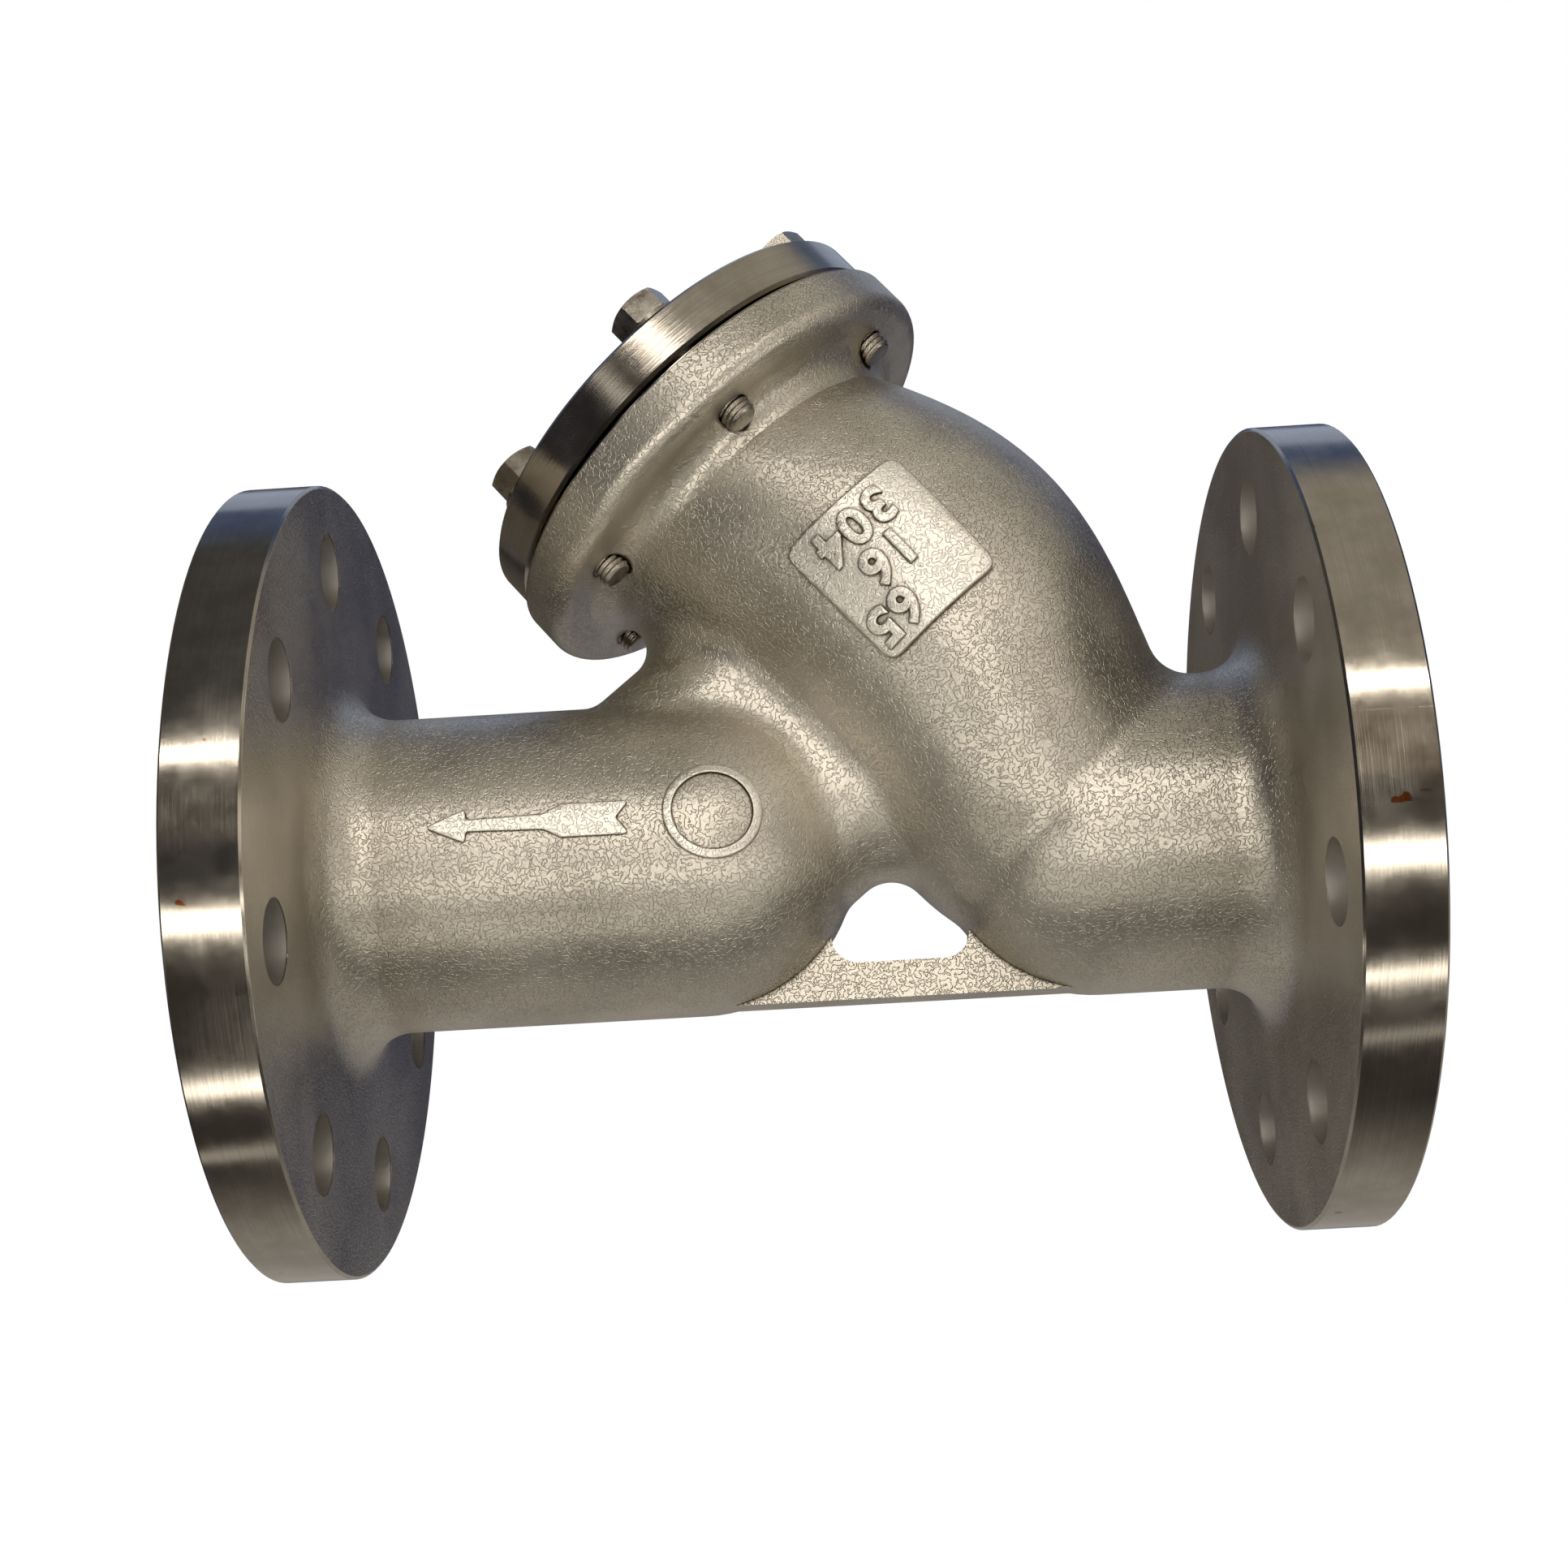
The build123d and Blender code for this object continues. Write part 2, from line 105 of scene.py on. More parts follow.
class Graph:
    """A material with one Principled shader, and short ways to add nodes to it."""

    def __init__(self, name, metallic=1.0):
        self.material = bpy.data.materials.new(name)
        self.material.use_nodes = True
        self.nodes = self.material.node_tree.nodes
        self.links = self.material.node_tree.links
        self.shader = self.nodes["Principled BSDF"]
        self.shader.inputs["Metallic"].default_value = metallic
        self.place = self.nodes.new("ShaderNodeTexCoord").outputs["Object"]
        self.xyz = self.nodes.new("ShaderNodeSeparateXYZ")
        self.links.new(self.place, self.xyz.inputs[0])
        self.x, self.y, self.z = self.xyz.outputs

    def set(self, socket, value):
        """Links a socket to another one, or gives it a constant."""
        if isinstance(value, bpy.types.NodeSocket):
            self.links.new(value, socket)
        else:
            socket.default_value = value

    def math(self, operation, *values):
        node = self.nodes.new("ShaderNodeMath")
        node.operation = operation
        for socket, value in zip(node.inputs, values):
            self.set(socket, value)
        return node.outputs[0]

    def step(self, value, low, high, start=0.0, end=1.0):
        """Smooth step of a value between two edges."""
        node = self.nodes.new("ShaderNodeMapRange")
        node.interpolation_type = "SMOOTHSTEP"
        keys = ("Value", "From Min", "From Max", "To Min", "To Max")
        for key, item in zip(keys, (value, low, high, start, end)):
            self.set(node.inputs[key], item)
        return node.outputs[0]

    def step_mm(self, value, edges):
        """Smooth step of a length in metres between two edges in millimetres."""
        return self.step(value, edges[0] * MM, edges[1] * MM)

    def vector(self, x, y, z):
        node = self.nodes.new("ShaderNodeCombineXYZ")
        for socket, value in zip(node.inputs, (x, y, z)):
            self.set(socket, value)
        return node.outputs[0]

    def noise(self, scale, detail=2.0, roughness=0.5, place=None):
        node = self.nodes.new("ShaderNodeTexNoise")
        self.links.new(place or self.place, node.inputs["Vector"])
        node.inputs["Scale"].default_value = scale
        node.inputs["Detail"].default_value = detail
        node.inputs["Roughness"].default_value = roughness
        return node.outputs["Fac"]

    def cells(self, scale):
        node = self.nodes.new("ShaderNodeTexVoronoi")
        self.links.new(self.place, node.inputs["Vector"])
        node.inputs["Scale"].default_value = scale
        return node.outputs["Distance"]

    def mix(self, share, first, second):
        node = self.nodes.new("ShaderNodeMix")
        node.data_type = "RGBA"
        self.set(node.inputs[0], share)
        for socket, value in ((node.inputs[6], first), (node.inputs[7], second)):
            self.set(socket, (*value, 1) if isinstance(value, tuple) else value)
        return node.outputs[2]

    def shelter(self, distance):
        """1 in the open and 0 deep in a corner; the materials use it to paint shade into corners and holes.
        """
        node = self.nodes.new("ShaderNodeAmbientOcclusion")
        node.samples = 16
        node.inputs["Distance"].default_value = distance
        return node.outputs["AO"]

    def relief(self, *layers):
        """Bumps of a height in millimetres each, joined one after another."""
        normal = None
        for height, size in layers:
            node = self.nodes.new("ShaderNodeBump")
            node.inputs["Distance"].default_value = size * MM
            self.set(node.inputs["Height"], height)
            if normal:
                self.links.new(normal, node.inputs["Normal"])
            normal = node.outputs[0]
        self.links.new(normal, self.shader.inputs["Normal"])

    def colour(self, value):
        self.set(self.shader.inputs["Base Color"], value)

    def rough(self, value):
        self.set(self.shader.inputs["Roughness"], value)

    def times(self, first, second):
        return self.math("MULTIPLY", first, second)

    def length(self, a, b):
        return self.math("SQRT", self.math("ADD", self.times(a, a), self.times(b, b)))

    def along_leg(self):
        """Level along the leg, distance from its axis and angle about it, in metres and radians."""
        dx = self.math("SUBTRACT", self.x, LEG_CROSSING * MM)
        level = self.math("ADD", self.times(dx, LEG_UP.x), self.times(self.z, LEG_UP.z))
        side = self.math("ADD", self.times(dx, LEG_SIDE.x), self.times(self.z, LEG_SIDE.z))
        return level, self.length(side, self.y), self.math("ARCTAN2", self.y, side)

    def turned(self, along, radius, angle):
        """Lines that a lathe leaves, which run round an axis."""
        along = self.times(along, LATHE_FINENESS)
        radius = self.times(radius, LATHE_FINENESS)
        angle = self.times(angle, LATHE_WANDER)
        return self.noise(1.0, 3.0, 0.6, self.vector(along, radius, angle))

    def lathe_colour(self, patina, marks):
        """Turned steel that is darker in its lines."""
        base = self.mix(self.step(patina, 0.3, 0.7), TURNED_DARK, TURNED_LIGHT)
        return self.mix(self.times(self.step(marks, 0.62, 0.35), 0.45), base, TURNED_DARK)

    def rusted(self, base):
        """The same colour with a few small rust spots."""
        return self.mix(self.step(self.noise(150, 2, 0.5), *RUST_EDGES), base, RUST)


CAST_LIGHT = (0.63, 0.59, 0.515)
CAST_DARK = (0.48, 0.445, 0.38)
# Painted shade, mixed into corners and crevices by ambient occlusion
PAINTED_CORNER_SHADE = (0.085, 0.062, 0.038)
# Lighter copy of the cast steel for the raised marks: painted highlight on their tops
MARK_LIGHT = (0.80, 0.765, 0.69)
MARK_DARK = (0.64, 0.605, 0.54)
HOLE_WALL = (0.60, 0.575, 0.53)
# Painted shade deep inside the bolt holes
HOLE_PAINTED_SHADE = (0.07, 0.058, 0.045)
# Painted shade on the sides of the raised marks
MARK_SIDE_SHADE_PALE = (0.17, 0.14, 0.10)
MARK_SIDE_SHADE_DEEP = (0.10, 0.08, 0.055)
TURNED_LIGHT = (0.50, 0.46, 0.40)
TURNED_DARK = (0.36, 0.325, 0.275)
RUST = (0.28, 0.09, 0.025)

# Lathe lines per metre across and per radian round the axis, and the edges of noise that show as rust
LATHE_FINENESS = 2600
LATHE_WANDER = 1.5
RUST_EDGES = (0.735, 0.76)

# Where the machining of the casting starts and where it is complete, in millimetres
RIM_RADII = (FLANGE_RADIUS - 0.8, FLANGE_RADIUS - 0.5)
RIM_BACKS = (FLANGE_BACK + 0.5, FLANGE_BACK + 0.2)
FACE_DEPTHS = (RAISED_FACE_HEIGHT + 0.4, RAISED_FACE_HEIGHT + 0.1)
HOLE_RADII = (BOLT_HOLE_RADIUS + 0.25, BOLT_HOLE_RADIUS + 0.1)
HOLE_BACKS = (FLANGE_BACK - 0.1, FLANGE_BACK - 0.3)
LEG_FACE_LEVELS = (LEG_FACE_LEVEL - 0.35, LEG_FACE_LEVEL - 0.2)
LEG_FACE_RADII = (61.2, 60.6)


def cast_steel(name, dark, light, machined=False):
    """Blasted cast steel; the body's own one has turned rims and faces as well."""
    g = Graph(name)
    blotch = g.noise(22, 3, 0.6)
    grain = g.noise(900, 2, 0.55)
    wrinkle = g.math("ABSOLUTE", g.math("SUBTRACT", g.noise(860, 1, 0.5), 0.5))
    wrinkle = g.step(wrinkle, 0.0, 0.05)
    fine = g.noise(2600, 2, 0.5)
    pits = g.step(g.cells(330), 0.03, 0.12)
    open_sky = g.shelter(0.0015 if machined else 0.0022)
    base = g.mix(g.step(blotch, 0.35, 0.65), dark, light)
    base = g.mix(g.times(g.step(wrinkle, 0.7, 0.0), 0.3), base, dark)
    # Painted shade: darker in corners and at the feet of raised parts, by ambient occlusion
    base = g.mix(g.step(open_sky, 0.5, 0.94, 0.97, 0.0), base, PAINTED_CORNER_SHADE)
    rough = g.step(blotch, 0.3, 0.7, 0.33, 0.41)
    if not machined:
        g.colour(base)
        g.rough(rough)
        g.relief((grain, 0.09), (wrinkle, 0.05), (fine, 0.015), (pits, 0.07))
        return g.material
    radius = g.length(g.y, g.z)
    angle = g.math("ARCTAN2", g.z, g.y)
    lines = g.turned(g.x, radius, angle)
    flange_x = g.math("MINIMUM", g.x, g.math("SUBTRACT", FACE_TO_FACE * MM, g.x))
    rim = g.times(g.step_mm(radius, RIM_RADII), g.step_mm(flange_x, RIM_BACKS))
    faces = g.step_mm(flange_x, FACE_DEPTHS)
    fold = g.math("WRAP", g.math("SUBTRACT", angle, pi / 8), pi / 8, -pi / 8)
    hole = g.length(
        g.math("SUBTRACT", g.times(radius, g.math("COSINE", fold)), BOLT_CIRCLE_RADIUS * MM),
        g.times(radius, g.math("SINE", fold)),
    )
    drilled = g.times(g.step_mm(hole, HOLE_RADII), g.step_mm(flange_x, HOLE_BACKS))
    level, leg_radius, leg_turn = g.along_leg()
    leg_face = g.times(g.step_mm(level, LEG_FACE_LEVELS), g.step_mm(leg_radius, LEG_FACE_RADII))
    leg_lines = g.turned(level, leg_radius, leg_turn)
    cut = g.math("MAXIMUM", g.math("MAXIMUM", rim, faces), g.math("MAXIMUM", drilled, leg_face))
    marks = g.math("MAXIMUM", lines, g.times(leg_lines, leg_face))
    patina = g.noise(60, 4, 0.65)
    turned = g.rusted(g.lathe_colour(patina, marks))
    # Painted shade: the bolt holes' walls go dark deep inside, by ambient occlusion
    shaded_hole_wall = g.mix(g.step(g.shelter(0.014), 0.2, 0.62), HOLE_PAINTED_SHADE, HOLE_WALL)
    turned = g.mix(drilled, turned, shaded_hole_wall)
    g.colour(g.mix(cut, base, turned))
    turned_rough = g.step(patina, 0.25, 0.8, 0.11, 0.21)
    turned_rough = g.math("MAXIMUM", turned_rough, g.times(drilled, 0.42))
    mixed = g.nodes.new("ShaderNodeMix")
    g.set(mixed.inputs[0], cut)
    g.set(mixed.inputs[2], rough)
    g.set(mixed.inputs[3], turned_rough)
    g.rough(mixed.outputs[0])
    uncut = g.math("SUBTRACT", 1.0, cut)
    g.relief(
        (g.times(grain, uncut), 0.11), (g.times(wrinkle, uncut), 0.085), (g.times(fine, uncut), 0.015),
        (g.times(pits, uncut), 0.05), (g.times(marks, cut), 0.015),
    )
    return g.material


def turned_steel(name):
    """Steel turned about the leg axis."""
    g = Graph(name)
    patina = g.noise(70, 4, 0.65)
    marks = g.turned(*g.along_leg())
    base = g.rusted(g.lathe_colour(patina, marks))
    # Painted shade: darker in corners, by ambient occlusion
    base = g.mix(g.step(g.shelter(0.0015), 0.3, 0.8, 0.6, 0.0), base, PAINTED_CORNER_SHADE)
    g.colour(base)
    g.rough(g.step(patina, 0.25, 0.8, 0.14, 0.25))
    g.relief((marks, 0.02), (g.noise(500, 3, 0.6), 0.01))
    return g.material


def fastener_steel(name):
    """Forged and rolled steel of the nuts, studs, washers and the plug."""
    g = Graph(name)
    patina = g.noise(180, 4, 0.6)
    base = g.mix(g.step(patina, 0.3, 0.7), (0.20, 0.178, 0.15), (0.42, 0.385, 0.33))
    # Painted shade: darker in corners and under the nuts, by ambient occlusion
    base = g.mix(g.step(g.shelter(0.0012), 0.3, 0.85, 0.7, 0.0), base, PAINTED_CORNER_SHADE)
    g.colour(base)
    g.rough(g.step(patina, 0.3, 0.7, 0.2, 0.34))
    g.relief((g.noise(700, 3, 0.6), 0.03), (g.noise(2600, 2, 0.5), 0.01))
    return g.material


def woven_mesh(name):
    """Fine woven wire, as a pattern round the screen's axis."""
    g = Graph(name)
    level, _, turn = g.along_leg()
    up = g.times(level, 2 * pi / (MESH_PITCH * MM))
    around = g.times(turn, MESH_WAVES)
    warp = g.times(g.math("SINE", up), g.math("COSINE", g.times(around, 0.5)))
    weft = g.times(g.math("SINE", around), g.math("COSINE", g.times(up, 0.5)))
    wires = g.math("MAXIMUM", g.math("ABSOLUTE", warp), g.math("ABSOLUTE", weft))
    g.colour(g.mix(g.step(wires, 0.2, 0.7), (0.05, 0.047, 0.042), (0.55, 0.53, 0.5)))
    g.rough(g.step(g.noise(300, 2, 0.5), 0.3, 0.7, 0.3, 0.42))
    g.relief((wires, 0.15))
    return g.material


def sheet_steel(name):
    """Rolled sheet of the screen."""
    g = Graph(name)
    patina = g.noise(90, 4, 0.6)
    g.colour(g.mix(g.step(patina, 0.3, 0.7), (0.45, 0.44, 0.42), (0.62, 0.61, 0.59)))
    level, _, turn = g.along_leg()
    streaks = g.noise(1.0, 3, 0.6, g.vector(g.times(level, 60), g.times(turn, 70), 0.0))
    g.rough(g.step(patina, 0.3, 0.7, 0.22, 0.36))
    g.relief((streaks, 0.01), (g.noise(900, 3, 0.6), 0.01))
    return g.material


def gasket_sheet(name):
    """Black pressed fibre gasket."""
    g = Graph(name, metallic=0.0)
    fibres = g.noise(1500, 4, 0.7)
    g.colour(g.mix(g.step(fibres, 0.35, 0.7), (0.012, 0.012, 0.013), (0.045, 0.044, 0.042)))
    g.rough(g.step(fibres, 0.3, 0.7, 0.6, 0.85))
    g.relief((fibres, 0.05))
    return g.material


cast_body = cast_steel("cast_body", CAST_DARK, CAST_LIGHT, machined=True)
# Raised marks: the same cast steel painted lighter, a painted highlight
highlit_cast_marks = cast_steel("highlit_cast_marks", MARK_DARK, MARK_LIGHT)
# Dark copy of the cast steel: painted shade on the marks' sides
painted_mark_shade = cast_steel("painted_mark_shade", MARK_SIDE_SHADE_DEEP, MARK_SIDE_SHADE_PALE)
turned_cover = turned_steel("turned_cover")
fasteners = fastener_steel("fasteners")
screen_sheet = sheet_steel("screen_sheet")
screen_weave = woven_mesh("screen_weave")
gasket_black = gasket_sheet("gasket_black")

node_materials = {
    **{name: cast_body for name in CASTING_NODES},
    "cover_plate": turned_cover, "cover_gasket": gasket_black,
    "screen_seat_ring": screen_sheet, "screen_cover_ring": screen_sheet, "screen_tube": screen_sheet,
    "screen_mesh": screen_weave, "drain_plug": fasteners, "plug_gasket": gasket_black,
}
for name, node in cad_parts.items():
    material = node_materials.get(name, fasteners)
    if not node.material_slots:
        node.data.materials.append(material)
    for slot in node.material_slots:
        slot.material = material

# Threaded studs; the flank is the share of a pitch from the groove's bottom to the crest
THREAD_PITCH = 1.25
THREAD_DEPTH = 0.62
THREAD_FLANK = 0.44
STUD_CHAMFER = 0.85
TURN_STEPS = 28
ROWS_PER_TURN = 4


def threaded_stud(name, middle_angle):
    """Stud with a real helical thread, chamfered at both ends."""
    rows = ROWS_PER_TURN * round((STUD_HIGH - STUD_LOW) / THREAD_PITCH)
    centre = LEG_ORIGIN + across_leg(STUD_CIRCLE_RADIUS, middle_angle)
    points = []
    for row in range(rows + 1):
        level = STUD_LOW + (STUD_HIGH - STUD_LOW) * row / rows
        for step in range(TURN_STEPS):
            angle = 2 * pi * step / TURN_STEPS
            phase = ((level - STUD_LOW) / THREAD_PITCH - step / TURN_STEPS) % 1
            groove = max(0.0, 1 - abs(phase - 0.5) / THREAD_FLANK)
            end = min(level - STUD_LOW, STUD_HIGH - level)
            radius = min(STUD_RADIUS - THREAD_DEPTH * groove, STUD_RADIUS - STUD_CHAMFER + max(end, 0))
            points.append(centre + LEG_UP * level + across_leg(radius, angle))
    faces = []
    for row in range(rows):
        for step in range(TURN_STEPS):
            a = row * TURN_STEPS + step
            b = row * TURN_STEPS + (step + 1) % TURN_STEPS
            faces.append((a, b, b + TURN_STEPS, a + TURN_STEPS))
    faces.append(tuple(reversed(range(TURN_STEPS))))
    faces.append(tuple(range(rows * TURN_STEPS, (rows + 1) * TURN_STEPS)))
    piece = mesh_object(name, points, faces)
    for face in piece.data.polygons[-2:]:
        face.use_smooth = False
    return piece


for number in range(1, STUD_COUNT + 1):
    turn = (number - 0.5) * 2 * pi / STUD_COUNT
    stud = threaded_stud(f"stud_{number}", turn)
    finish_piece(stud, fasteners, "body", f"cover_stud_{number}")

# Cast marks: shapes drawn flat, then laid on the casting
casting_points = []
casting_faces = []
for name in CASTING_NODES:
    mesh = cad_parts[name].data
    start = len(casting_points)
    casting_points += [vertex.co.copy() for vertex in mesh.vertices]
    casting_faces += [tuple(start + corner for corner in face.vertices) for face in mesh.polygons]
casting_tree = BVHTree.FromPolygons(casting_points, casting_faces)

# Where the rays that look for the casting start, from each axis, and how a mark is made, in millimetres.
# A face whose normal stands up less than the given share gets the painted shade of the mark's sides.
PIPE_RAY_START = 70
BARREL_RAY_START = 80
MARK_GRID = 1.5
MARK_THICKNESS = 0.8
MERGE_DISTANCE = 0.004
CUT_TOLERANCE = 0.001
EDGE_UPRIGHT = 0.8
SHARP_ANGLE = 50


def on_pipe(x, arc):
    """Place outside the pipe and the way in, for a point at x and at an arc length up from the front."""
    angle = arc / PIPE_RADIUS
    out = Vector((0, -cos(angle), sin(angle)))
    return Vector((x, 0, 0)) + out * PIPE_RAY_START, -out


def on_barrel(across, level):
    """The same for the barrel; across is an arc length from the front towards the inlet side."""
    angle = across / BARREL_RADIUS
    out = -LEG_BACK * cos(angle) + LEG_SIDE * sin(angle)
    middle = LEG_ORIGIN + LEG_UP * level + LEG_SIDE * BARREL_OFFSET
    return middle + out * BARREL_RAY_START, -out


def lay_on_casting(name, curve, place, height):
    """Turns a filled, bevelled outline into a mesh that stands up from the casting by a height."""
    holder = bpy.data.objects.new(name + "_outline", curve)
    bpy.context.scene.collection.objects.link(holder)
    bpy.context.view_layer.update()
    mesh = bpy.data.meshes.new_from_object(holder)
    bpy.data.objects.remove(holder)
    work = bmesh.new()
    work.from_mesh(mesh)
    bmesh.ops.remove_doubles(work, verts=work.verts, dist=MERGE_DISTANCE)
    for axis, normal in enumerate((Vector((1, 0, 0)), Vector((0, 1, 0)))):
        low = min(v.co[axis] for v in work.verts)
        high = max(v.co[axis] for v in work.verts)
        cut = low + MARK_GRID
        while cut < high:
            geometry = work.verts[:] + work.edges[:] + work.faces[:]
            bmesh.ops.bisect_plane(
                work, geom=geometry, dist=CUT_TOLERANCE, plane_co=normal * cut, plane_no=normal,
            )
            cut += MARK_GRID
    top = max(v.co.z for v in work.verts)
    work.normal_update()
    for face in work.faces:
        # The mark's steep sides take the second material, painted shade
        face.material_index = 1 if face.normal.z < EDGE_UPRIGHT else 0
    for vertex in work.verts:
        start, inward = place(vertex.co.x, vertex.co.y)
        hit, _, _, _ = casting_tree.ray_cast(start * MM, inward)
        if hit is None:
            raise RuntimeError(name + " misses the casting")
        vertex.co = hit - inward * ((height - top + vertex.co.z) * MM)
    bmesh.ops.recalc_face_normals(work, faces=work.faces)
    work.to_mesh(mesh)
    work.free()
    mesh.name = name
    mesh.shade_smooth()
    mesh.set_sharp_from_angle(angle=radians(SHARP_ANGLE))
    piece = bpy.data.objects.new(name, mesh)
    bpy.context.scene.collection.objects.link(piece)
    finish_piece(piece, highlit_cast_marks, "body")
    piece.data.materials.append(painted_mark_shade)


def filled_curve(name, outlines, bevel):
    """Filled outline with rounded edges; each outline is a closed list of points in millimetres."""
    curve = bpy.data.curves.new(name, "CURVE")
    curve.dimensions = "2D"
    curve.fill_mode = "BOTH"
    curve.bevel_depth = bevel
    curve.bevel_resolution = 2
    curve.offset = -bevel
    curve.extrude = MARK_THICKNESS
    for outline in outlines:
        spline = curve.splines.new("POLY")
        spline.points.add(len(outline) - 1)
        for point, (x, y) in zip(spline.points, outline):
            point.co = (x, y, 0, 1)
        spline.use_cyclic_u = True
    return curve


def rounded(corners, radius, steps=5):
    """Corner points with an arc at each, of a radius or of what the shorter side leaves."""
    result = []
    for index, here in enumerate(corners):
        here = Vector(here)
        before = Vector(corners[index - 1]) - here
        after = Vector(corners[(index + 1) % len(corners)]) - here
        half = before.angle(after) / 2
        reach = min(radius / tan(half), 0.45 * before.length, 0.45 * after.length)
        start = here + before.normalized() * reach
        end = here + after.normalized() * reach
        for step in range(steps + 1):
            t = step / steps
            point = start * (1 - t) ** 2 + here * 2 * t * (1 - t) + end * t ** 2
            result.append((point.x, point.y))
    return result


def circle(radius, count=72):
    return [(radius * cos(2 * pi * n / count), radius * sin(2 * pi * n / count)) for n in range(count)]


# Flow arrow, pointing at the outlet
ARROW_ARC = 1.75
ARROW_HEIGHT = 0.6
arrow_corners = [
    (42.4, 0), (51.3, 3.9), (51.6, 1.35), (68.6, 1.75), (72.4, 3.8), (87.6, 3.8), (84.6, 0),
    (87.6, -3.8), (72.4, -3.8), (68.6, -1.75), (51.6, -1.35), (51.3, -3.9),
]
arrow = filled_curve("flow_arrow", [rounded(arrow_corners, 0.7)], 0.28)
lay_on_casting("flow_arrow", arrow, lambda x, y: on_pipe(x, y + ARROW_ARC), ARROW_HEIGHT)

# Plain ring beside it
RING_X = 105.8
RING_ARC = 2.6
RING_RADIUS = 10.9
RING_WIDTH = 2
RING_HEIGHT = 0.7
ring_start, ring_in = on_pipe(RING_X, RING_ARC)
ring_up = Vector((0, -ring_in.z, ring_in.y))


def on_ring(x, y):
    """The ring is laid on flat, from one direction."""
    return ring_start + Vector((x, 0, 0)) + ring_up * y, ring_in


ring = filled_curve("plain_ring", [circle(RING_RADIUS), circle(RING_RADIUS - RING_WIDTH)], 0.3)
lay_on_casting("plain_ring", ring, on_ring, RING_HEIGHT)

# Pad on the barrel with plain numbers
PAD_LEVEL = 69.9
PAD_ARC = -6.9
PAD_HEIGHT = 1.5
PAD_HALF_WIDTH = 16.4
PAD_HALF_LENGTH = 17.3
NUMBER_SIZE = 11.9
NUMBER_SPACING = 1.12
NUMBER_BOLDNESS = 0.26
NUMBER_HEIGHT = 0.8
NUMBER_BEVEL = 0.3
pad_corners = [
    (-PAD_HALF_WIDTH, -PAD_HALF_LENGTH), (PAD_HALF_WIDTH, -PAD_HALF_LENGTH),
    (PAD_HALF_WIDTH, PAD_HALF_LENGTH), (-PAD_HALF_WIDTH, PAD_HALF_LENGTH),
]
pad = filled_curve("number_pad", [rounded(pad_corners, 3.4)], 0.4)
lay_on_casting("number_pad", pad, lambda x, y: on_barrel(x + PAD_ARC, y + PAD_LEVEL), PAD_HEIGHT)


def pad_number(name, text, x, y):
    """Raised number with its top towards the inlet, as the photo has its lettering."""
    curve = bpy.data.curves.new(name, "FONT")
    curve.body = text
    curve.size = NUMBER_SIZE
    curve.space_character = NUMBER_SPACING
    curve.offset = NUMBER_BOLDNESS
    curve.align_x = "CENTER"
    curve.align_y = "CENTER"
    curve.extrude = MARK_THICKNESS
    curve.bevel_depth = NUMBER_BEVEL
    curve.bevel_resolution = 1
    curve.resolution_u = 4

    def place(u, v):
        return on_barrel(PAD_ARC - x - u, PAD_LEVEL - y - v)

    lay_on_casting(name, curve, place, PAD_HEIGHT + NUMBER_HEIGHT)


pad_number("number_bore", "65", 8.6, 10.2)
pad_number("number_pressure", "16", 0.5, -0.3)
pad_number("number_grade", "304", 1.2, -10.6)

# Camera, where the photo was taken from: place in metres, turn in degrees, lens and sensor in millimetres
CAMERA_PLACE = (0.132895, -0.463729, -0.108885)
CAMERA_TURN = (105.2257, 2.8318, 2.2539)
CAMERA_LENS = 46.304
CAMERA_SENSOR = 36
camera_data = bpy.data.cameras.new("camera")
camera_data.lens = CAMERA_LENS
camera_data.sensor_width = CAMERA_SENSOR
camera_data.clip_start = 0.01
camera = bpy.data.objects.new("camera", camera_data)
camera.location = CAMERA_PLACE
camera.rotation_euler = Euler([radians(turn) for turn in CAMERA_TURN])
bpy.context.scene.collection.objects.link(camera)
bpy.context.scene.camera = camera

# Floor, pale to the camera, with the object's shadow; in the metal the mat hides it
FLOOR_Z = -160
FLOOR_REACH = 6000
FLOOR_SHADE = 0.86
FLOOR_GLOW = 0.72
WORLD_STRENGTH = 0.35


def stage_piece(name, points, faces, build):
    """Stage object with a material that a function builds."""
    piece = mesh_object(name, points, faces, smooth=False)
    material = bpy.data.materials.new(name)
    material.use_nodes = True
    material.node_tree.nodes.clear()
    build(material.node_tree)
    piece.data.materials.append(material)
    return piece


def level_square(middle_x, reach, z):
    """Corners of a level square, in millimetres."""
    sides = ((-1, -1), (1, -1), (1, 1), (-1, 1))
    return [(middle_x + side_x * reach, side_y * reach, z) for side_x, side_y in sides]


def seen_rays(tree):
    """1 for camera, glossy and transmission rays."""
    path = tree.nodes.new("ShaderNodeLightPath")
    total = path.outputs["Is Camera Ray"]
    for kind in ("Is Glossy Ray", "Is Transmission Ray"):
        node = tree.nodes.new("ShaderNodeMath")
        node.operation = "MAXIMUM"
        tree.links.new(total, node.inputs[0])
        tree.links.new(path.outputs[kind], node.inputs[1])
        total = node.outputs[0]
    return total


